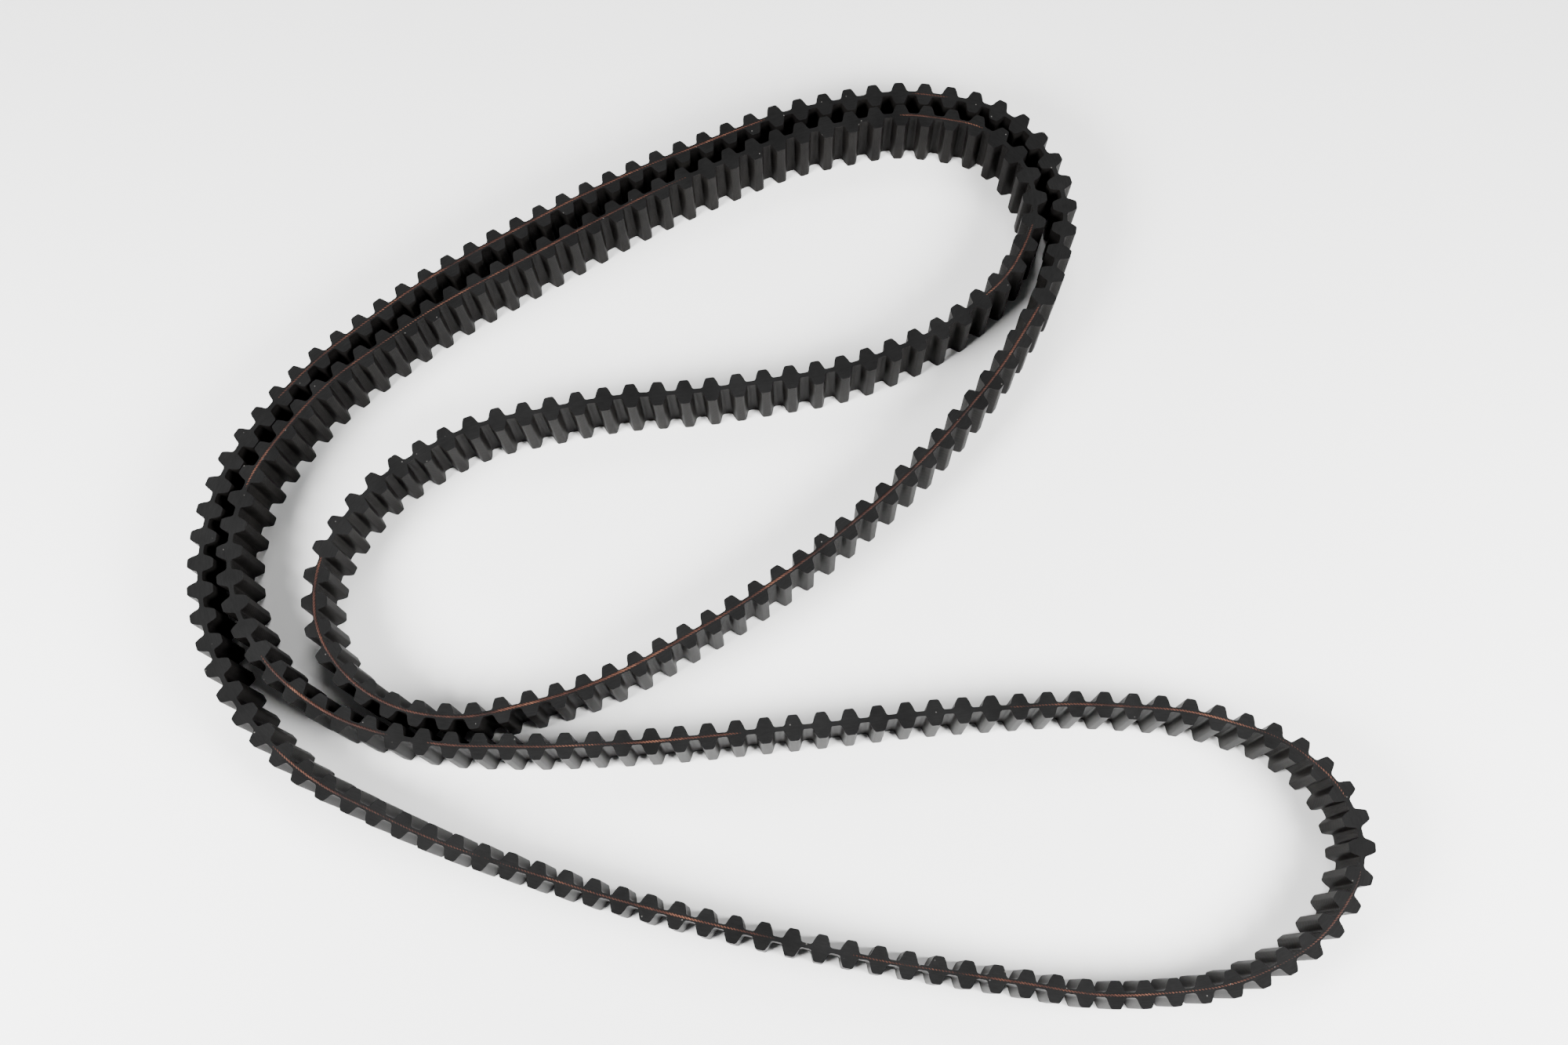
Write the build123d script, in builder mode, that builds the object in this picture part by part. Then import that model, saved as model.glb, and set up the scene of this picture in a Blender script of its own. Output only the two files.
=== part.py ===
from build123d import *
from build123d.topology import SkipClean
import os
from math import cos, pi, sin

# Double-sided synchronous belt, 250 teeth of 8 mm pitch, lying free on its cut edge.
#
# The belt is one endless bonded laminate.  From one tooth face to the other it is made of nylon
# facing, tooth rubber, a body ply, the wound tensile cords, a second body ply, tooth rubber and
# nylon facing.  All of them follow the same closed route, the belt's middle line seen from above.

# ---------------------------------------------------------------- driving dimensions, in mm
PITCH = 8.0  # distance between teeth along the middle line
TEETH = 250  # on each side; the teeth of the two sides stand back to back
WIDTH = 20.0  # height of the belt as it stands on its cut edge
TOOTH_HEIGHT = 3.05  # land to crest
ROOT_WIDTH = 5.0  # width of a tooth at its land, before the root fillets
FLANK_RADIUS = 9.0  # convex flanks
FLANK_LEAN = 12.0  # degrees that a flank leans in where it meets the land
TIP_RADIUS = 0.7  # rounding between a flank and the flat crest
ROOT_RADIUS = 0.8  # fillet between a flank and the land
FACING = 0.2  # thickness of the nylon facing
SKIN = 0.05  # tooth rubber left between the facing's lands and the body ply
CORD_DIAMETER = 0.8  # tensile cord
CORD_COVER = 0.04  # ply rubber over the cord, on either side
CORD_SPACING = 1.9  # between one turn of the cord and the next
CORD_EDGE = 0.6  # least distance from the middle of a turn to the cut edge
STRAND_GAP = 0.4  # least air gap between two strands that lie side by side

PLY = CORD_DIAMETER / 2 + CORD_COVER  # thickness of each body ply, from the middle line outwards
WEB = 2 * (PLY + SKIN + FACING)  # thickness between the lands of the two sides
THICKNESS = WEB + 2 * TOOTH_HEIGHT  # crest to crest
SHORT = 0.05  # a stretch of route that isn't worth an arc of its own
INSIDE = 1  # the side of the middle line that faces into the loop, left of the travel
OUTSIDE = -1
UP_THE_TEETH = Vector(0, 1)

# ---------------------------------------------------------------- route, in mm
# Points that the middle line passes through, in the order of travel, with the inside of the
# loop always on the left.  The long free loop comes first, then the strand that it leads to.
FREE_LOOP = [
    (164, -98), (160, -83), (150, -72), (128, -62.5), (97, -58.5), (56, -60), (8, -65),
    (-41, -69.5), (-73, -70.5),
]
# The belt then wraps up the left, over the top and down the right.
WRAP = [
    (-89, -70), (-105, -67.5), (-127, -59), (-145, -43), (-155, -21), (-154, 2), (-139, 29.5),
    (-110, 56.5), (-69, 83), (-27, 107), (17, 125), (48, 129), (71, 121.5), (81.5, 102),
    (75, 79),
]
# It turns back along an S and makes the small loop on the left.
RETURN = [
    (59, 62), (31, 47), (-9, 38), (-57, 32), (-95, 21), (-120, 1), (-130, -21), (-128.5, -36),
    (-120, -49.5),
]
# Next it nestles against the start of the wrap: beside which wrap point, and with what slack.
NESTLE = [(1, 0.0), (0, 0.1)]
# A long strand rises to the right.
RISE = [(-68, -58.5), (-53, -54), (-17, -35), (22, -7), (51, 21), (75, 53)]
# It goes round outside the whole wrap, from its end to its start, and leaves for the free loop.
OVERWRAP = [
    (14, 4.1), (13, 0.9), (12, 0.3), (11, 0.0), (10, 0.2), (9, 0.9), (8, 2.3), (7, 1.1),
    (6, 0.1), (5, 0.0), (4, 0.6), (3, 3.9),
]
LOWER = [
    (-135, -73), (-101, -92), (-55, -108), (0, -122), (55, -132), (103, -137), (134, -131.5),
    (154, -118.5),
]


def left_of(heading):
    """The direction square to a heading, on its left."""
    return Vector(-heading.Y, heading.X)


def heading_at(before, here, after):
    """Direction, at the middle one of three points, of the circle through them."""
    arriving, leaving = here - before, after - here
    both = arriving.normalized() * leaving.length + leaving.normalized() * arriving.length
    return both.normalized()


def beside(points, index, distance):
    """The point at a distance from a route point, square to the route; left is positive."""
    return points[index] + left_of(heading_at(*points[index - 1 : index + 2])) * distance


def route_points(scale):
    """All points of the closed route.  The scale sizes the loops, not the gaps between strands."""
    free, wrap, back, rise, lower = (
        [Vector(x, y) * scale for x, y in points] for points in (FREE_LOOP, WRAP, RETURN, RISE, LOWER)
    )
    guide = free[-1:] + wrap + back[:1]
    spacing = THICKNESS + STRAND_GAP
    nestle = [beside(guide, index + 1, -spacing - slack) for index, slack in NESTLE]
    overwrap = [beside(guide, index + 1, spacing + slack) for index, slack in OVERWRAP]
    return free + wrap + back + nestle + rise + overwrap + lower


class Arc:
    """One circular arc of the route, from a point and heading to an end point."""

    def __init__(self, start, heading, end):
        chord = end - start
        half_angle = heading.get_angle(chord) * pi / 180
        self.start, self.heading = start, heading
        self.curvature = 2 * heading.cross(chord.normalized()).Z / chord.length
        self.length = chord.length * half_angle / sin(half_angle)

    def at(self, distance):
        """Point and heading at a distance along the arc."""
        angle = self.curvature * distance
        left = left_of(self.heading)
        point = self.start + (self.heading * sin(angle) + left * (1 - cos(angle))) / self.curvature
        return point, self.heading * cos(angle) + left * sin(angle)


class Route:
    """A smooth closed line through points, with two tangent arcs from each point to the next."""

    def __init__(self, points):
        self.arcs = []
        count = len(points)
        headings = [heading_at(points[i - 1], points[i], points[(i + 1) % count]) for i in range(count)]
        for i in range(count):
            start, end = points[i], points[(i + 1) % count]
            leaving, arriving = headings[i], headings[(i + 1) % count]
            chord = end - start
            reach = chord.dot(leaving + arriving)
            bend = 2 * (1 - leaving.dot(arriving)) * chord.dot(chord)
            handle = chord.dot(chord) / (reach + (reach**2 + bend) ** 0.5)
            meeting = (start + leaving * handle + end - arriving * handle) / 2
            first = Arc(start, leaving, meeting)
            self.arcs += [first, Arc(meeting, first.at(first.length)[1], end)]
        self.length = sum(arc.length for arc in self.arcs)

    def along(self, distance):
        """Point and heading at a distance from the start of the route."""
        distance %= self.length
        for arc in self.arcs:
            if distance <= arc.length:
                return arc.at(distance)
            distance -= arc.length
        return self.arcs[0].at(0)

    def off(self, distance, across):
        """Point beside the route; across is positive to the left, inside the loop."""
        point, heading = self.along(distance)
        return point + left_of(heading) * across


# ---------------------------------------------------------------- tooth profile
# Seen in the tooth's own frame, x along the belt and y out from the middle line.  The arcs keep
# their centres when the profile is inset, so that the facing has one thickness all round.
LEAN = FLANK_LEAN * pi / 180
FLANK_CENTRE = Vector(ROOT_WIDTH, WEB) / 2 - Vector(cos(LEAN), sin(LEAN)) * FLANK_RADIUS


def beside_flank(radius, height):
    """The point at a height above the land and a distance from the flank's centre."""
    rise = WEB / 2 + height - FLANK_CENTRE.Y
    return FLANK_CENTRE + Vector((radius**2 - rise**2) ** 0.5, rise)


TIP_CENTRE = beside_flank(FLANK_RADIUS - TIP_RADIUS, TOOTH_HEIGHT - TIP_RADIUS)
ROOT_CENTRE = beside_flank(FLANK_RADIUS + ROOT_RADIUS, ROOT_RADIUS)
FOLLOWS_BEND = [1.0, 0.5, 0, 0, 0, 0, 0]  # the root follows the belt's curve, the tooth keeps its shape


def half_profile(inset):
    """Points of the right half of a tooth, land to crest: each arc's start, middle and end."""
    to_tip = (TIP_CENTRE - FLANK_CENTRE).normalized()
    to_root = (ROOT_CENTRE - FLANK_CENTRE).normalized()
    root, flank, tip = ROOT_RADIUS + inset, FLANK_RADIUS - inset, TIP_RADIUS - inset
    return [
        ROOT_CENTRE - UP_THE_TEETH * root,
        ROOT_CENTRE - (UP_THE_TEETH + to_root).normalized() * root,
        FLANK_CENTRE + to_root * flank,
        FLANK_CENTRE + (to_root + to_tip).normalized() * flank,
        FLANK_CENTRE + to_tip * flank,
        TIP_CENTRE + (to_tip + UP_THE_TEETH).normalized() * tip,
        TIP_CENTRE + UP_THE_TEETH * tip,
    ]


def fitted_route():
    """The route, sized to a whole number of pitches and centred on the belt's outer size."""
    scale = 1.0
    for _ in range(12):
        scale *= TEETH * PITCH / Route(route_points(scale)).length
    route = Route(route_points(scale))
    crests = [
        route.off(tooth * PITCH + end * TIP_CENTRE.X, side * THICKNESS / 2)
        for tooth in range(TEETH)
        for end in (-1, 0, 1)
        for side in (INSIDE, OUTSIDE)
    ]
    across = [crest.X for crest in crests]
    deep = [crest.Y for crest in crests]
    centre = Vector(min(across) + max(across), min(deep) + max(deep)) / 2
    return Route([point - centre for point in route_points(scale)])


ROUTE = fitted_route()


def tooth_points(tooth, side, inset):
    """The fourteen points of one tooth on the route, in the order of travel."""
    middle = tooth * PITCH
    centre, heading = ROUTE.along(middle)
    square = left_of(heading) * side
    placed = []
    for hand in (-1, 1):
        half = []
        for local, follow in zip(half_profile(inset), FOLLOWS_BEND):
            rigid = centre + heading * (hand * local.X) + square * local.Y
            bent = ROUTE.off(middle + hand * local.X, side * local.Y)
            half.append(rigid * (1 - follow) + bent * follow)
        placed += half if hand < 0 else half[::-1]
    return placed


def draw_tooth(tooth, side, inset):
    """Draws one pitch of a tooth face, from the middle of one land to the middle of the next."""
    points = tooth_points(tooth, side, inset)
    land = side * (WEB / 2 - inset)
    Line(ROUTE.off((tooth - 0.5) * PITCH, land), points[0])
    for first in (0, 2, 4, 7, 9, 11):
        ThreePointArc(*points[first : first + 3])
    Line(points[6], points[7])
    Line(points[13], ROUTE.off((tooth + 0.5) * PITCH, land))


def draw_lane(start, end, across):
    """Draws the line beside the middle line from one distance to another, arc by arc."""
    stops, reached = [start], 0.0
    for arc in ROUTE.arcs:
        reached += arc.length
        if start + SHORT < reached < end - SHORT:
            stops.append(reached)
    stops.append(end)
    for first, last in zip(stops, stops[1:]):
        ThreePointArc(*(ROUTE.off(first + (last - first) * part, across) for part in (0, 0.5, 1)))


def draw_ends(tooth, side, inner, outer):
    """Draws the two short lines through a layer, in the middle of the lands beside a tooth."""
    for land in (tooth - 0.5, tooth + 0.5):
        Line(ROUTE.off(land * PITCH, side * inner), ROUTE.off(land * PITCH, side * outer))


# ---------------------------------------------------------------- facings and tooth rubber
# The moulded layers are drawn pitch by pitch and joined into a ring.  The joined cells keep
# their own end faces (SkipClean), because one face with thousands of edges is slow to check.
def facing(side):
    """The sleeve of nylon fabric over all the teeth of one side."""
    with SkipClean(), BuildPart() as sleeve:
        for tooth in range(1, TEETH + 1):
            with BuildSketch():
                with BuildLine():
                    draw_tooth(tooth, side, 0)
                    draw_tooth(tooth, side, FACING)
                    draw_ends(tooth, side, WEB / 2 - FACING, WEB / 2)
                make_face()
        extrude(amount=WIDTH)
    return sleeve


def tooth_rubber(side):
    """The moulded rubber inside the facing, with all the teeth of one side."""
    with SkipClean(), BuildPart() as moulding:
        for tooth in range(1, TEETH + 1):
            with BuildSketch():
                with BuildLine():
                    draw_tooth(tooth, side, FACING)
                    draw_lane((tooth - 0.5) * PITCH, (tooth + 0.5) * PITCH, side * PLY)
                    draw_ends(tooth, side, PLY, WEB / 2 - FACING)
                make_face()
        extrude(amount=WIDTH)
    return moulding


# ---------------------------------------------------------------- plies and tensile cords
# Both are swept whole round the route.  The cord is wound from one cut edge to the other; each
# turn is drawn level, and turns of S twist and Z twist take their places in alternate grooves.
TURNS = int((WIDTH - 2 * CORD_EDGE) / CORD_SPACING) + 1
FIRST_TURN = (WIDTH - (TURNS - 1) * CORD_SPACING) / 2
CORD_LEVELS = [FIRST_TURN + turn * CORD_SPACING for turn in range(TURNS)]
START, START_HEADING = ROUTE.along(0)
SECTION = Plane(START, x_dir=left_of(START_HEADING), z_dir=START_HEADING)

with BuildLine() as middle_line:
    for route_arc in ROUTE.arcs:
        ThreePointArc(*(route_arc.at(route_arc.length * part)[0] for part in (0, 0.5, 1)))


def body_ply(side):
    """The flat ply between the tooth rubber and the middle line, with half of each cord groove."""
    with BuildPart() as ply:
        with BuildSketch(SECTION):
            with Locations((side * PLY / 2, WIDTH / 2)):
                Rectangle(PLY, WIDTH)
            with Locations([(0, level) for level in CORD_LEVELS]):
                Circle(CORD_DIAMETER / 2, mode=Mode.SUBTRACT)
        sweep(path=middle_line.wire())
    return ply


def cord_turns(levels):
    """Turns of tensile cord at the given levels, each one closed loop."""
    with BuildPart() as turns:
        for level in levels:
            with BuildSketch(SECTION):
                with Locations((0, level)):
                    Circle(CORD_DIAMETER / 2)
            sweep(path=middle_line.wire())
    return turns


outer_facing_fabric = facing(OUTSIDE)
outer_facing_fabric.part.label = "outer_facing_fabric"
inner_facing_fabric = facing(INSIDE)
inner_facing_fabric.part.label = "inner_facing_fabric"
outer_tooth_rubber = tooth_rubber(OUTSIDE)
outer_tooth_rubber.part.label = "outer_tooth_rubber"
inner_tooth_rubber = tooth_rubber(INSIDE)
inner_tooth_rubber.part.label = "inner_tooth_rubber"
outer_body_ply = body_ply(OUTSIDE)
outer_body_ply.part.label = "outer_body_ply"
inner_body_ply = body_ply(INSIDE)
inner_body_ply.part.label = "inner_body_ply"
s_twist_cord = cord_turns(CORD_LEVELS[0::2])
s_twist_cord.part.label = "s_twist_cord"
z_twist_cord = cord_turns(CORD_LEVELS[1::2])
z_twist_cord.part.label = "z_twist_cord"

os.makedirs("parts", exist_ok=True)
for piece in (
    outer_facing_fabric,
    inner_facing_fabric,
    outer_tooth_rubber,
    inner_tooth_rubber,
    outer_body_ply,
    inner_body_ply,
    s_twist_cord,
    z_twist_cord,
):
    export_step(piece.part, f"parts/{piece.part.label}.step", write_pcurves=False)

print("route length", round(ROUTE.length, 3), "in", len(ROUTE.arcs), "arcs, turns of cord", TURNS)
print("tightest bend", round(min(abs(1 / arc.curvature) for arc in ROUTE.arcs), 1))
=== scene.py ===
# %% [markdown]
# # A double-sided timing belt
#
# The object is an endless drive belt of black rubber with teeth on both faces, lying loosely
# coiled on its cut edge.  A belt like this is built up in layers on a toothed drum: woven
# nylon, tooth rubber, a wound cord, and the same again in reverse.  It is cured under pressure
# and then slit to width, so its two edges are plain cut rubber.
#
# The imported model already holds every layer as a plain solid.  This lesson gives the layers
# the surfaces that the real ones have.  It starts by loading that model.

import bisect
import math

import bmesh
import bpy
from mathutils import Matrix, Vector


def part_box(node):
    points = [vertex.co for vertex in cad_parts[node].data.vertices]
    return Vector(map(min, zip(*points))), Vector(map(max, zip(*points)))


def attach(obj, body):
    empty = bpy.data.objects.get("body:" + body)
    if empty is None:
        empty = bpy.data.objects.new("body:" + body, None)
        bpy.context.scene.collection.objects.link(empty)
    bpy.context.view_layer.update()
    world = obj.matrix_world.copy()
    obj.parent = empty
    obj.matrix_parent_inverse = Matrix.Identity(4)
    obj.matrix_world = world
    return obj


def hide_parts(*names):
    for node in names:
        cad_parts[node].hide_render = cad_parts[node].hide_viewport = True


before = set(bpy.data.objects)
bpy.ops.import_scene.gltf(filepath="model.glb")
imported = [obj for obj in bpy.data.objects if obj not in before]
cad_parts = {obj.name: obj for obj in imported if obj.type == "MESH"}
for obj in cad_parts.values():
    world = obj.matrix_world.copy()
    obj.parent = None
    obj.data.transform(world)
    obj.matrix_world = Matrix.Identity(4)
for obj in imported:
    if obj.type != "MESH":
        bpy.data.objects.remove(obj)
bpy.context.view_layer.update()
print("layers:", ", ".join(sorted(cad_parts)))

MM = 0.001
PITCH = 8.0
TEETH = 250
WIDTH = 20.0

# %% [markdown]
# ## The belt's middle line
#
# Every layer follows one closed line, seen from above.  It could be drawn as a curve object
# and the layers bent along it by a Curve modifier, but that modifier also bends the teeth.
# On the real belt the thin web bends and the thick teeth keep their shape.  So the line is
# kept as plain arcs here, and each vertex is laid beside it by a small function.
#
# The line is a chain of arcs through a few points, in millimetres, with two tangent arcs from
# each point to the next.  The first list is the long free loop, and the others follow it round.

# %% Points of the middle line
FREE_LOOP = [
    (164, -98), (160, -83), (150, -72), (128, -62.5), (97, -58.5), (56, -60), (8, -65),
    (-41, -69.5), (-73, -70.5),
]
WRAP = [
    (-89, -70), (-105, -67.5), (-127, -59), (-145, -43), (-155, -21), (-154, 2), (-139, 29.5),
    (-110, 56.5), (-69, 83), (-27, 107), (17, 125), (48, 129), (71, 121.5), (81.5, 102),
    (75, 79),
]
RETURN = [
    (59, 62), (31, 47), (-9, 38), (-57, 32), (-95, 21), (-120, 1), (-130, -21), (-128.5, -36),
    (-120, -49.5),
]
NESTLE = [(1, 0.0), (0, 0.1)]
RISE = [(-68, -58.5), (-53, -54), (-17, -35), (22, -7), (51, 21), (75, 53)]
OVERWRAP = [
    (14, 4.1), (13, 0.9), (12, 0.3), (11, 0.0), (10, 0.2), (9, 0.9), (8, 2.3), (7, 1.1),
    (6, 0.1), (5, 0.0), (4, 0.6), (3, 3.9),
]
LOWER = [
    (-135, -73), (-101, -92), (-55, -108), (0, -122), (55, -132), (103, -137), (134, -131.5),
    (154, -118.5),
]
WEB = 1.38  # between the lands of the two faces
TOOTH_HEIGHT = 3.05
PLY = 0.44  # thickness of the ply on each side of the middle line
STRAND_GAP = 0.4  # left between two nestling strands, at their points
STRAND_SPACING = WEB + 2 * TOOTH_HEIGHT + STRAND_GAP


def left_of(heading):
    return Vector((-heading.y, heading.x))


def heading_at(before, here, after):
    """The direction, at the middle one of three points, of the circle through them."""
    arriving, leaving = here - before, after - here
    both = arriving.normalized() * leaving.length + leaving.normalized() * arriving.length
    return both.normalized()


def beside(points, index, distance):
    return points[index] + left_of(heading_at(*points[index - 1 : index + 2])) * distance


def line_points(scale):
    """All the points, with the nestling strands placed a strand's thickness from the wrap."""
    free, wrap, back, rise, lower = (
        [Vector(point) * scale for point in points]
        for points in (FREE_LOOP, WRAP, RETURN, RISE, LOWER)
    )
    guide = free[-1:] + wrap + back[:1]
    nestle = [beside(guide, i + 1, -STRAND_SPACING - slack) for i, slack in NESTLE]
    over = [beside(guide, i + 1, STRAND_SPACING + slack) for i, slack in OVERWRAP]
    return free + wrap + back + nestle + rise + over + lower


# %% [markdown]
# Two tangent arcs join each pair of points.  An arc is stored as its start, its heading and
# its curvature, which is all it takes to find the place at any distance along it.

# %% Arcs of the middle line
def arc_between(start, heading, end):
    chord = end - start
    half_angle = math.atan2(heading.cross(chord), heading.dot(chord)) or 1e-9
    curvature = 2 * math.sin(half_angle) / chord.length
    return start, heading, curvature, 2 * half_angle / curvature


def along_arc(arc, distance):
    start, heading, curvature, _ = arc
    angle = curvature * distance
    left = left_of(heading)
    place = start + (heading * math.sin(angle) + left * (1 - math.cos(angle))) / curvature
    return place, heading * math.cos(angle) + left * math.sin(angle)


def arcs_through(points):
    arcs = []
    count = len(points)
    headings = [
        heading_at(points[i - 1], points[i], points[(i + 1) % count]) for i in range(count)
    ]
    for i in range(count):
        start, end = points[i], points[(i + 1) % count]
        leaving, arriving = headings[i], headings[(i + 1) % count]
        chord = end - start
        reach = chord.dot(leaving + arriving)
        bend = 2 * (1 - leaving.dot(arriving)) * chord.length_squared
        handle = chord.length_squared / (reach + math.sqrt(reach**2 + bend))
        meeting = (start + leaving * handle + end - arriving * handle) / 2
        first = arc_between(start, leaving, meeting)
        arcs += [first, arc_between(meeting, along_arc(first, first[3])[1], end)]
    return arcs


# %% [markdown]
# The loops are sized so that a whole number of teeth fits round the line, and the line is
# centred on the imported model.

# %% Fit the line to the teeth
FIT_ROUNDS = 12  # the strand spacing doesn't scale with the points, so the fit takes a few rounds
SPOTS = 4000  # places on the line that are looked at to find its centre

scale = 1.0
for _ in range(FIT_ROUNDS):
    scale *= TEETH * PITCH / sum(arc[3] for arc in arcs_through(line_points(scale)))
LINE = arcs_through(line_points(scale))
ARC_ENDS = []
for arc in LINE:
    ARC_ENDS.append((ARC_ENDS[-1] if ARC_ENDS else 0.0) + arc[3])
LENGTH = ARC_ENDS[-1]


def line_at(distance):
    """The place and heading on the middle line at a distance along it."""
    distance %= LENGTH
    index = min(bisect.bisect_left(ARC_ENDS, distance), len(LINE) - 1)
    before = ARC_ENDS[index - 1] if index else 0.0
    return along_arc(LINE[index], distance - before)


def cad_shift():
    """How far the line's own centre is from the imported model's."""
    low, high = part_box("inner_body_ply")
    spots = []
    for step in range(SPOTS):
        place, heading = line_at(step * LENGTH / SPOTS)
        spots += [place, place + left_of(heading) * PLY]
    middle = Vector((
        min(s.x for s in spots) + max(s.x for s in spots),
        min(s.y for s in spots) + max(s.y for s in spots),
    )) / 2
    return (Vector((low.x, low.y)) + Vector((high.x, high.y))) / 2 / MM - middle


SHIFT = cad_shift()
print("middle line", round(LENGTH, 2), "mm in", len(LINE), "arcs, shifted by", SHIFT)

# %% [markdown]
# ## One pitch of the tooth face
#
# The moulded tooth has a flat crest, rounded tips, slightly convex flanks and a fillet at each
# root.  It could be drawn as a bezier outline, but three spins give exact arcs: the first turns
# a single vertex round the tip's centre, the next carries it down the flank, and the last
# leads it round the fillet to the land.  The other half is a mirror image.
#
# Here x runs along the belt, y stands out from the middle line and z is the belt's width, in
# millimetres.  The inset draws the same outline deeper in the belt, under the nylon.

# %% Tooth outline
ROOT_WIDTH = 5.0
FLANK_RADIUS = 9.0
FLANK_LEAN = math.radians(12)
TIP_RADIUS = 0.7
ROOT_RADIUS = 0.8
ARC_STEPS = 3  # straight pieces in each arc of the outline
NYLON = 0.2

foot = Vector((ROOT_WIDTH / 2, WEB / 2, 0))
flank_centre = foot - Vector((math.cos(FLANK_LEAN), math.sin(FLANK_LEAN), 0)) * FLANK_RADIUS


def beside_flank(radius, height):
    """The point at a height above the land and a distance from the flank's centre."""
    rise = WEB / 2 + height - flank_centre.y
    return flank_centre + Vector((math.sqrt(radius**2 - rise**2), rise, 0))


tip_centre = beside_flank(FLANK_RADIUS - TIP_RADIUS, TOOTH_HEIGHT - TIP_RADIUS)
root_centre = beside_flank(FLANK_RADIUS + ROOT_RADIUS, ROOT_RADIUS)
tip_lean = math.asin((tip_centre - flank_centre).normalized().y)
root_lean = math.asin((root_centre - flank_centre).normalized().y)
ROOT_SWEEP = math.pi / 2 - root_lean


def draw_outline(bm, inset):
    """Draws one pitch of outline, from the middle of one land to the middle of the next."""
    older = set(bm.verts)
    last = bmesh.ops.create_vert(bm, co=(0, WEB / 2 + TOOTH_HEIGHT - inset, 0))["vert"]

    def pull(to_x):
        out = bmesh.ops.extrude_vert_indiv(bm, verts=last)["verts"]
        bmesh.ops.translate(bm, verts=out, vec=(to_x - out[0].co.x, 0, 0))
        return out

    def turn(centre, angle):
        out = bmesh.ops.spin(
            bm, geom=last, cent=centre, axis=(0, 0, 1), angle=angle, steps=ARC_STEPS,
            use_duplicate=False,
        )["geom_last"]
        return [v for v in out if isinstance(v, bmesh.types.BMVert)]

    last = pull(tip_centre.x)
    last = turn(tip_centre, tip_lean - math.pi / 2)
    last = turn(flank_centre, root_lean - tip_lean)
    last = turn(root_centre, ROOT_SWEEP)
    pull(PITCH / 2)
    half = [v for v in bm.verts if v not in older]
    edges = list({e for v in half for e in v.link_edges})
    bmesh.ops.mirror(bm, geom=half + edges, matrix=Matrix(), merge_dist=0.001, axis="X")
    return sorted((v for v in bm.verts if v not in older), key=lambda v: v.co.x)


outline = bmesh.new()
drawn = draw_outline(outline, 0)
print("outline of one pitch:", len(drawn), "vertices, x from", drawn[0].co.x, "to", drawn[-1].co.x)
outline.free()

# %% [markdown]
# ## Cells, rows and the closed ring
#
# One pitch of a layer is a cell: a cut-edge face between its outline and the layer below,
# extruded across the belt's width.  Its two end faces are removed, so that neighbouring cells
# join without walls between them.  Copying the row onto its own end doubles it each time, and
# a few doublings make the whole belt, still straight.

# %% Straight rows of cells
LANE_STEPS = 4  # straight pieces in one pitch of a layer's flat side
MERGE = 0.002  # corners nearer than this are one corner


def chain_at(bm, height):
    """Adds a straight chain of edges one pitch long at a height above the middle line."""
    start = bmesh.ops.create_vert(bm, co=(-PITCH / 2, height, 0))["vert"]
    row = list(start)
    for _ in range(LANE_STEPS):
        out = bmesh.ops.extrude_vert_indiv(bm, verts=row[-1:])["verts"]
        bmesh.ops.translate(bm, verts=out, vec=(PITCH / LANE_STEPS, 0, 0))
        row += out
    return row


def start_cell():
    bm = bmesh.new()
    for name in ("run", "bend"):
        bm.verts.layers.float.new(name)
    return bm


def mark(bm, row, inset=0.0):
    """Stores on each vertex its distance along the outline, for cloth, and its share of the bend.

    A point follows the belt's bend fully at the land and not at all above the fillet."""
    run, bend = bm.verts.layers.float["run"], bm.verts.layers.float["bend"]
    total = 0.0
    for before, here in zip(row[:1] + row, row):
        total += (here.co - before.co).length
        here[run] = total
        risen = max(0.0, here.co.y - WEB / 2 + inset) / (ROOT_RADIUS + inset)
        here[bend] = max(0.0, 1 - math.acos(max(-1.0, 1 - risen)) / ROOT_SWEEP)
    for v in row:
        v[run] -= total / 2


def stand_up(bm):
    """Extrudes the flat cell to the belt's full width and opens its ends."""
    flat = bm.faces[:]
    raised = bmesh.ops.extrude_face_region(bm, geom=flat, use_keep_orig=True)["geom"]
    far_edge = [v for v in raised if isinstance(v, bmesh.types.BMVert)]
    bmesh.ops.translate(bm, verts=far_edge, vec=(0, 0, WIDTH))
    ends = [f for f in bm.faces if all(abs(abs(v.co.x) - PITCH / 2) < 1e-4 for v in f.verts)]
    bmesh.ops.delete(bm, geom=ends, context="FACES")
    bmesh.ops.recalc_face_normals(bm, faces=bm.faces[:])


def repeat(bm, count):
    """Copies the cell along x until there are count of them."""
    made = 1
    while made < count:
        more = min(made, count - made)
        limit = (more - 0.5) * PITCH
        row = [f for f in bm.faces if f.calc_center_median().x < limit]
        copy = bmesh.ops.duplicate(bm, geom=row)["geom"]
        verts = [v for v in copy if isinstance(v, bmesh.types.BMVert)]
        bmesh.ops.translate(bm, verts=verts, vec=(made * PITCH, 0, 0))
        made += more
    bmesh.ops.remove_doubles(bm, verts=bm.verts[:], dist=MERGE)


def in_cut_edge(face):
    return abs(face.normal.z) > 0.5


def nylon_cell():
    bm = start_cell()
    for inset in (0, NYLON):
        mark(bm, draw_outline(bm, inset), inset)
    bmesh.ops.bridge_loops(bm, edges=bm.edges[:])
    stand_up(bm)
    for face in bm.faces:
        face.material_index = int(in_cut_edge(face))  # the cut edge has its own material
    return bm


def rubber_cell():
    bm = start_cell()
    top, lane = draw_outline(bm, NYLON), chain_at(bm, PLY)
    mark(bm, top, NYLON)
    mark(bm, lane)
    for end in (0, -1):
        bmesh.ops.contextual_create(bm, geom=[top[end], lane[end]])
    bmesh.ops.contextual_create(bm, geom=bm.edges[:])
    stand_up(bm)
    return bm


def ply_cell():
    bm = start_cell()
    for height in (0.0, PLY):
        mark(bm, chain_at(bm, height))
    bmesh.ops.bridge_loops(bm, edges=bm.edges[:])
    stand_up(bm)
    return bm


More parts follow.
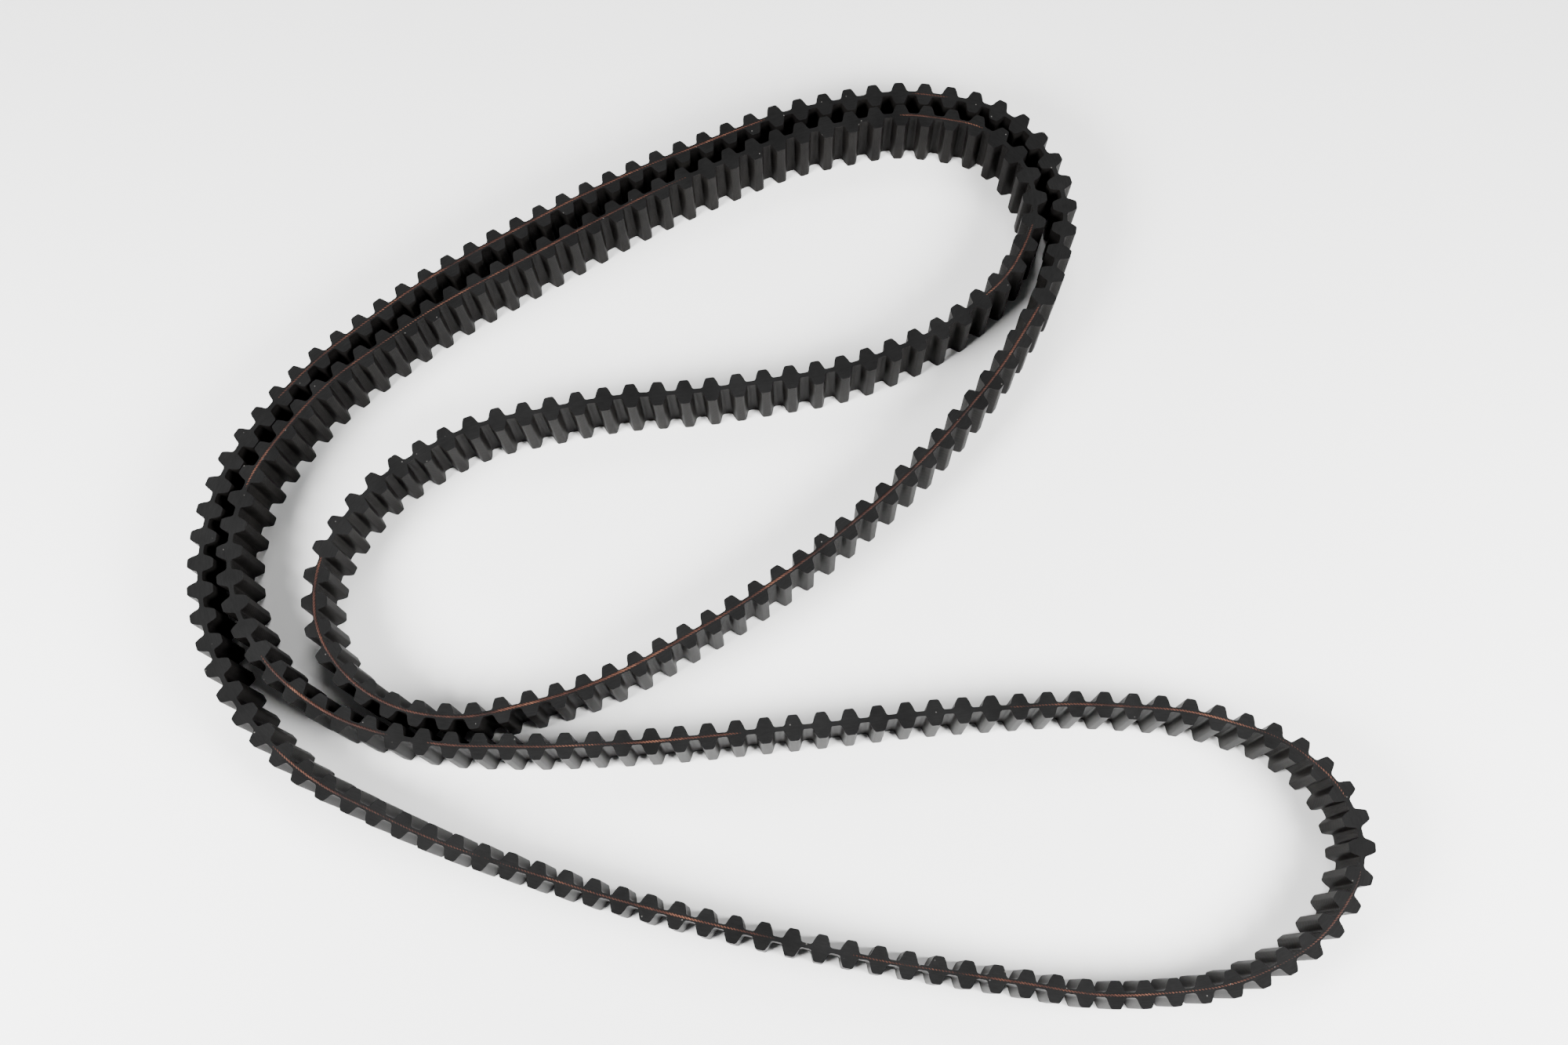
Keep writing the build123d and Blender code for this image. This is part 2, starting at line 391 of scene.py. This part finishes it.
for name, cell in (("nylon", nylon_cell()), ("tooth rubber", rubber_cell()), ("ply", ply_cell())):
    print(name, "cell:", len(cell.faces), "faces")
    cell.free()

# %% [markdown]
# ## Laying a row round the loop
#
# First each face gets a UV map in metres: along the surface and across the width on the tooth
# faces, and along and across the belt on the cut edges.  Weave and slitting marks will follow
# it.  Then every vertex is laid beside the middle line.  A tooth is set down whole, square to
# the line, and only its foot and the land follow the bend.

# %% UV map and laying
INSIDE, OUTSIDE = 1, -1


def map_surface(bm):
    uv = bm.loops.layers.uv.new("along_the_belt")
    run = bm.verts.layers.float["run"]
    pitch_run = 2 * max(v[run] for v in bm.verts)
    for face in bm.faces:
        edge_face = in_cut_edge(face)
        tooth = round(face.calc_center_median().x / PITCH)
        for loop in face.loops:
            x, y, z = loop.vert.co
            place = (x, y) if edge_face else (tooth * pitch_run + loop.vert[run], z)
            loop[uv].uv = Vector(place) * MM


def lay_beside_line(bm, side):
    bend = bm.verts.layers.float["bend"]
    for v in bm.verts:
        x, y, z = v.co
        tooth = round(x / PITCH)
        centre, heading = line_at(tooth * PITCH)
        whole = centre + heading * (x - tooth * PITCH) + left_of(heading) * side * y
        place, turned = line_at(x)
        bent = place + left_of(turned) * side * y
        spot = whole.lerp(bent, v[bend]) + SHIFT
        v.co = Vector((spot.x, spot.y, z)) * MM
    bmesh.ops.remove_doubles(bm, verts=bm.verts[:], dist=MERGE * MM)
    bmesh.ops.recalc_face_normals(bm, faces=bm.faces[:])


def finished(bm, name, sharp=35):
    """Turns a bmesh into an object that rides on the belt, smooth but for its true edges."""
    for face in bm.faces:
        face.smooth = True
    for edge in bm.edges:
        edge.smooth = len(edge.link_faces) == 2 and edge.calc_face_angle(0) < math.radians(sharp)
    mesh = bpy.data.meshes.new(name)
    bm.to_mesh(mesh)
    bm.free()
    piece = bpy.data.objects.new(name, mesh)
    bpy.context.scene.collection.objects.link(piece)
    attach(piece, "root")
    print(name + ":", len(mesh.polygons), "faces")
    return piece


def layer(name, cell, side, replaced):
    repeat(cell, TEETH)
    map_surface(cell)
    lay_beside_line(cell, side)
    piece = finished(cell, name)
    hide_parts(replaced)
    return piece


# %% [markdown]
# ## The layers
#
# The same three cells make both faces of the belt: the inner side is on the left of the line.

# %% Make the layers
inner_nylon = layer(
    "inner_nylon_sleeve", nylon_cell(), INSIDE, "inner_facing_fabric"
)
outer_nylon = layer(
    "outer_nylon_sleeve", nylon_cell(), OUTSIDE, "outer_facing_fabric"
)
inner_teeth = layer(
    "inner_rubber_teeth", rubber_cell(), INSIDE, "inner_tooth_rubber"
)
outer_teeth = layer(
    "outer_rubber_teeth", rubber_cell(), OUTSIDE, "outer_tooth_rubber"
)
inner_ply = layer("inner_rubber_ply", ply_cell(), INSIDE, "inner_body_ply")
outer_ply = layer("outer_rubber_ply", ply_cell(), OUTSIDE, "outer_body_ply")

# %% [markdown]
# ## The cord that shows in the cut edge
#
# The load is carried by twisted polyester-and-glass cord, wound round the belt in a slow
# helix.  The knife that slits the belt to width runs square, so it cuts into the last turn of
# the helix here and there.  Where it does, a stretch of red-brown cord lies bare in the
# middle of the cut edge, and elsewhere the rubber covers it.
#
# A cord could be three separate tubes twisted round each other.  At this size one tube with a
# three-lobed section, turned as it goes, gives the same ridges with a third of the faces.  A
# spin about its own axis with a small step forward draws exactly that.

# %% Bare stretches of cord
CORD_RADIUS = 0.43
YARNS = 3  # twisted into one cord
SEGMENTS = 9  # corners of the cord's section
GROOVE = 0.72  # distance of a groove from the cord's middle, as a share of the radius
LAY = 2.7  # length of one full twist
STEPS = 8  # sections in one twist
TAPER = 9.0  # length over which an end sinks
SINK = 0.4  # how much deeper it gets
DEPTH_WAVES = [(0.05, 17.0, 0), (0.03, 5.1, 0)]  # height, millimetres to a radian, and phase
SIDE_WAVES = [(0.05, 11.0, 0), (0.04, 4.3, 1)]
BARE = [  # first and last tooth of each stretch, and how deep the cord's middle lies there
    (1.0, 15.0, 0.33), (23.5, 35.2, 0.28), (36.0, 42.2, 0.2), (48.0, 70.0, 0.3),
    (77.5, 82.0, 0.3), (85.5, 90.2, 0.3), (117.0, 154.0, 0.2), (164.3, 167.0, 0.3),
    (172.0, 194.6, 0.27), (208.0, 228.0, 0.33), (229.2, 249.8, 0.33),
]


def twisted_run(bm, start, lays):
    """Adds a straight run of cord, a whole number of twists long, from a distance on."""
    place = Matrix.Translation((start, 0, 0)) @ Matrix.Rotation(math.pi / 2, 4, "Y")
    ring = bmesh.ops.create_circle(
        bm, segments=SEGMENTS, radius=CORD_RADIUS, matrix=place
    )["verts"]
    grooves = ring[:: SEGMENTS // YARNS]
    bmesh.ops.scale(bm, verts=grooves, vec=(1, GROOVE, GROOVE))
    for v in grooves:
        v[bm.verts.layers.float["groove"]] = 1.0  # the spin hands it on to every section
    bmesh.ops.spin(
        bm, geom=list({e for v in ring for e in v.link_edges}), cent=(0, 0, 0), axis=(1, 0, 0),
        angle=math.tau, dvec=(LAY / STEPS, 0, 0), steps=STEPS, use_duplicate=False,
    )
    one_lay = bm.faces[-SEGMENTS * STEPS :]
    for turn in range(1, lays):
        copy = bmesh.ops.duplicate(bm, geom=one_lay)["geom"]
        verts = [v for v in copy if isinstance(v, bmesh.types.BMVert)]
        bmesh.ops.translate(bm, verts=verts, vec=(turn * LAY, 0, 0))


def waver(x, waves):
    return sum(height * math.sin(x / length + phase) for height, length, phase in waves)


def lay_cord(bm):
    """Lays the cord in the cut edge, with its ends sinking out of sight."""
    for v in bm.verts:
        x, y, z = v.co
        # A run is a whole number of twists long, so it can end a little past its last tooth.
        start, end, depth = next(
            run for run in BARE if run[0] * PITCH - LAY <= x <= run[1] * PITCH + LAY
        )
        from_end = min(x - start * PITCH, end * PITCH - x) / TAPER
        depth += SINK * (1 - min(1.0, max(0.0, from_end))) ** 2
        depth += waver(x, DEPTH_WAVES)
        place, heading = line_at(x)
        spot = place + left_of(heading) * (y + waver(x, SIDE_WAVES)) + SHIFT
        v.co = Vector((spot.x, spot.y, WIDTH - depth + z)) * MM


cord = bmesh.new()
spare = bpy.data.meshes.new("spare")
for start, end, _ in BARE:
    single = bmesh.new()
    single.verts.layers.float.new("groove")
    twisted_run(single, start * PITCH, round((end - start) * PITCH / LAY))
    single.to_mesh(spare)
    single.free()
    cord.from_mesh(spare)
bmesh.ops.remove_doubles(cord, verts=cord.verts[:], dist=0.01)
uv = cord.loops.layers.uv.new("along_the_cord")
for face in cord.faces:
    for loop in face.loops:
        x, y, z = loop.vert.co
        loop[uv].uv = (x * MM, math.atan2(z, y) / math.tau)
bpy.data.meshes.remove(spare)
lay_cord(cord)
bmesh.ops.recalc_face_normals(cord, faces=cord.faces[:])
bare = finished(cord, "bare_cord", sharp=80)

# %% [markdown]
# ## Colours and a helper for nodes
#
# Colours are written as sRGB hex, the way a paint chart gives them, and one function turns
# them to the linear values that a shader works in.

# %% Colour and node helpers
def colour(code):
    parts = [int(code[i : i + 2], 16) / 255 for i in (1, 3, 5)]
    linear = [p / 12.92 if p <= 0.04045 else ((p + 0.055) / 1.055) ** 2.4 for p in parts]
    return (*linear, 1.0)


def new_material(name):
    material = bpy.data.materials.new(name)
    material.use_nodes = True
    material.node_tree.nodes.clear()
    return material


def add(material, kind, settings=None, **inputs):
    """Adds a node.  Settings are its properties; inputs are values, or (node, output) links."""
    tree = material.node_tree
    node = tree.nodes.new("ShaderNode" + kind)
    for key, value in (settings or {}).items():
        setattr(node, key, value)
    for key, value in inputs.items():
        name = key.replace("_", " ")
        socket = node.inputs[int(key[2:])] if key.startswith("at") else node.inputs[name]
        if isinstance(value, tuple) and len(value) == 2 and hasattr(value[0], "outputs"):
            tree.links.new(value[0].outputs[value[1]], socket)
        else:
            socket.default_value = value
    return node


def ramp(material, factor, stops):
    node = add(material, "ValToRGB", Fac=factor)
    node.color_ramp.elements[0].position, node.color_ramp.elements[0].color = stops[0]
    node.color_ramp.elements[1].position, node.color_ramp.elements[1].color = stops[-1]
    for position, tone in stops[1:-1]:
        node.color_ramp.elements.new(position).color = tone
    return node


def grey(value):
    return (value, value, value, 1.0)


def noise(material, place, scale, detail, roughness):
    return add(
        material, "TexNoise", Vector=place, Scale=scale, Detail=detail, Roughness=roughness
    )


def blend(material, kind, share, under, over):
    """Lays one colour over another: MULTIPLY darkens the one under it, MIX covers it."""
    return add(
        material, "Mix", {"data_type": "RGBA", "blend_type": kind}, at0=share, at6=under, at7=over
    )


# %% [markdown]
# ## Woven nylon facing
#
# The teeth are faced with a thin stretch nylon, woven as a twill and soaked with rubber in the
# mould.  It is nearly black, with a fine diagonal grain.  A fuzzy cloth mirrors almost
# nothing of what faces it and turns pale grey only where one looks along it, so its specular
# level is far below that of a bare plastic.  A real thread is about 0.25 mm, too fine to show
# from where the whole belt is seen, so the twill here is drawn at 0.6 mm.
#
# The grain follows the UV map, so it runs over each tooth as the cloth does.

# %% Woven nylon
TWILL = 0.6 * MM
WAVE_SCALE = math.tau / TWILL / 20  # a wave texture at scale 1 has 20 radians of band per metre


def woven_nylon(name, dark, light):
    m = new_material(name)
    cloth = add(m, "UVMap", {"uv_map": "along_the_belt"})
    turned = add(m, "Mapping", Vector=(cloth, "UV"), Rotation=(0, 0, math.radians(38)))
    twill = add(
        m, "TexWave", {"wave_type": "BANDS", "bands_direction": "X", "wave_profile": "SIN"},
        Vector=(turned, "Vector"), Scale=WAVE_SCALE, Distortion=1.2, Detail=2.0,
        Detail_Scale=0.6,
    )
    threads = add(
        m, "TexWave", {"wave_type": "BANDS", "bands_direction": "X", "wave_profile": "SIN"},
        Vector=(cloth, "UV"), Scale=WAVE_SCALE * 1.3, Distortion=0.8, Detail=1.0,
        Detail_Scale=0.6,
    )
    weave = add(
        m, "Mix", {"data_type": "FLOAT"}, Factor=0.35, at2=(twill, "Fac"), at3=(threads, "Fac")
    )
    space = add(m, "TexCoord")
    patches = noise(m, (space, "Object"), scale=60.0, detail=4.0, roughness=0.6)
    fibre = noise(m, (cloth, "UV"), scale=1500.0, detail=3.0, roughness=0.7)
    tone = ramp(m, (patches, "Fac"), [(0.32, colour(dark)), (0.72, colour(light))])
    shade = ramp(m, (weave, "Result"), [(0.0, grey(0.72)), (0.8, grey(1.12))])
    grain = ramp(m, (fibre, "Fac"), [(0.3, grey(0.85)), (0.75, grey(1.15))])
    woven = blend(m, "MULTIPLY", 1.0, (tone, "Color"), (shade, "Color"))
    rubbed = blend(m, "MULTIPLY", 1.0, (woven, "Result"), (grain, "Color"))
    relief = add(m, "Bump", Strength=0.35, Distance=0.00006, Height=(weave, "Result"))
    surface = add(
        m, "BsdfPrincipled", Base_Color=(rubbed, "Result"), Roughness=0.4, IOR=1.5,
        Specular_IOR_Level=0.018, Normal=(relief, "Normal"),
    )
    add(m, "OutputMaterial", Surface=(surface, "BSDF"))
    return m


nylon = woven_nylon("woven nylon facing", "#0b0a0a", "#161514")

# %% [markdown]
# ## Slit rubber
#
# The cut edge is chloroprene rubber, black with carbon, parted by a knife.  It is matt, with
# faint scoring along the belt and a few specks of dust that the fresh rubber holds.  The cut
# rim of the cloth is soaked with the same rubber, so it gets this material too and doesn't
# stand out.

# %% Slit rubber
def slit_rubber(name, dark, light):
    m = new_material(name)
    edge = add(m, "UVMap", {"uv_map": "along_the_belt"})
    drawn = add(m, "Mapping", Vector=(edge, "UV"), Scale=(0.12, 1.0, 1.0))
    scoring = noise(m, (drawn, "Vector"), scale=2600.0, detail=3.0, roughness=0.6)
    space = add(m, "TexCoord")
    patches = noise(m, (space, "Object"), scale=45.0, detail=5.0, roughness=0.6)
    crumb = noise(m, (space, "Object"), scale=2200.0, detail=2.0, roughness=0.5)
    tone = ramp(m, (patches, "Fac"), [(0.3, colour(dark)), (0.7, colour(light))])
    score = ramp(m, (scoring, "Fac"), [(0.3, grey(0.82)), (0.7, grey(1.18))])
    scored = blend(m, "MULTIPLY", 1.0, (tone, "Color"), (score, "Color"))
    dust = add(m, "TexVoronoi", {"feature": "F1"}, Vector=(space, "Object"), Scale=260.0)
    speck = ramp(m, (dust, "Distance"), [(0.0, grey(1.0)), (0.04, grey(1.0)), (0.055, grey(0.0))])
    dusty = blend(m, "MIX", (speck, "Color"), (scored, "Result"), colour("#4a4947"))
    relief = add(m, "Bump", Strength=0.4, Distance=0.00004, Height=(crumb, "Fac"))
    surface = add(
        m, "BsdfPrincipled", Base_Color=(dusty, "Result"), Roughness=0.7, IOR=1.52,
        Specular_IOR_Level=0.03, Normal=(relief, "Normal"),
    )
    add(m, "OutputMaterial", Surface=(surface, "BSDF"))
    return m


slit = slit_rubber("slit chloroprene rubber", "#0b0b0b", "#131313")
for piece in (inner_nylon, outer_nylon):
    piece.data.materials.append(nylon)
    piece.data.materials.append(slit)
for piece in (inner_teeth, outer_teeth, inner_ply, outer_ply):
    piece.data.materials.append(slit)

# %% [markdown]
# ## Dipped cord
#
# The yarn is dipped in a red-brown adhesive that bonds it to the rubber.  It is matt and
# patchy, almost black where rubber is smeared over it.  The grooves between the yarns are
# painted near black: partly rubber left in them, partly painted shade that falls there.

# %% Dipped cord
def dipped_cord(name):
    m = new_material(name)
    space = add(m, "TexCoord")
    smear = noise(m, (space, "Object"), scale=70.0, detail=5.0, roughness=0.7)
    fleck = noise(m, (space, "Object"), scale=1300.0, detail=2.0, roughness=0.6)
    tone = ramp(
        m, (smear, "Fac"),
        [(0.35, colour("#150b09")), (0.52, colour("#351e17")), (0.7, colour("#57382b"))],
    )
    fibre = ramp(m, (fleck, "Fac"), [(0.35, grey(0.62)), (0.7, grey(1.3))])
    dyed = blend(m, "MULTIPLY", 1.0, (tone, "Color"), (fibre, "Color"))
    # Near black in the grooves: rubber left there, plus painted shade in the recess between the
    # yarns.
    groove = add(m, "Attribute", {"attribute_name": "groove"})
    groove_rubber_and_shade = blend(m, "MIX", (groove, "Fac"), (dyed, "Result"), colour("#0d0808"))
    relief = add(m, "Bump", Strength=0.5, Distance=0.00005, Height=(fleck, "Fac"))
    surface = add(
        m, "BsdfPrincipled", Base_Color=(groove_rubber_and_shade, "Result"), Roughness=0.6, Specular_IOR_Level=0.1,
        Normal=(relief, "Normal"),
    )
    add(m, "OutputMaterial", Surface=(surface, "BSDF"))
    return m


dipped = dipped_cord("twisted cord dipped in adhesive")
bare.data.materials.append(dipped)
for node in ("s_twist_cord", "z_twist_cord"):
    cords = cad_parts[node]
    cords.data.materials.clear()
    cords.data.materials.append(dipped)

# %% [markdown]
# ## Table, light and camera
#
# The belt stands on a plain pale table.  Two softboxes stand close by on the left and right,
# as on a copying stand, so every strand throws a short soft shadow to each side and the narrow
# places between the strands go dark.  A weaker one evens out the far side.  An overhead
# softbox would be simpler, but it would light the bottom of every gap.

# %% Table
TABLE_REACH = 3.0  # metres from its middle to each side

table = bmesh.new()
bmesh.ops.create_grid(table, x_segments=1, y_segments=1, size=TABLE_REACH)
mesh = bpy.data.meshes.new("table")
table.to_mesh(mesh)
table.free()
floor = bpy.data.objects.new("table", mesh)
bpy.context.scene.collection.objects.link(floor)


def pale_table(name):
    m = new_material(name)
    surface = add(
        m, "BsdfPrincipled", Base_Color=colour("#e9e9e8"), Roughness=0.75, Specular_IOR_Level=0.2
    )
    add(m, "OutputMaterial", Surface=(surface, "BSDF"))
    return m


floor.data.materials.append(pale_table("pale laminate"))

# %% Light
world = bpy.data.worlds.new("pale room")
world.use_nodes = True
sky = world.node_tree.nodes["Background"]
sky.inputs["Color"].default_value = colour("#f2f4f6")
sky.inputs["Strength"].default_value = 0.14
bpy.context.scene.world = world


def soft_light(name, place, aim, size, power):
    light = bpy.data.lights.new(name, "AREA")
    light.shape = "DISK"
    light.size = size
    light.energy = power
    lamp = bpy.data.objects.new(name, light)
    lamp.location = place
    lamp.rotation_euler = (Vector(aim) - Vector(place)).to_track_quat("-Z", "Y").to_euler()
    lamp.visible_camera = False
    bpy.context.scene.collection.objects.link(lamp)


soft_light("left softbox", (-0.42, -0.2, 0.38), aim=(-0.06, 0, 0), size=0.3, power=14)
soft_light("right softbox", (0.42, -0.21, 0.38), aim=(0.06, 0, 0), size=0.3, power=14)
soft_light("far softbox", (0.0, 0.6, 0.9), aim=(0, 0.1, 0), size=0.4, power=8)

# %% Camera
lens = bpy.data.cameras.new("camera")
lens.sensor_width = 36
lens.lens = 35.505
lens.shift_x = -0.0166
lens.shift_y = 0.0204
lens.clip_start = 0.01
camera = bpy.data.objects.new("camera", lens)
camera.location = (0.00858, -0.13665, 0.450)
camera.rotation_euler = (math.radians(15.85), math.radians(-0.43), 0)
bpy.context.scene.collection.objects.link(camera)
bpy.context.scene.camera = camera
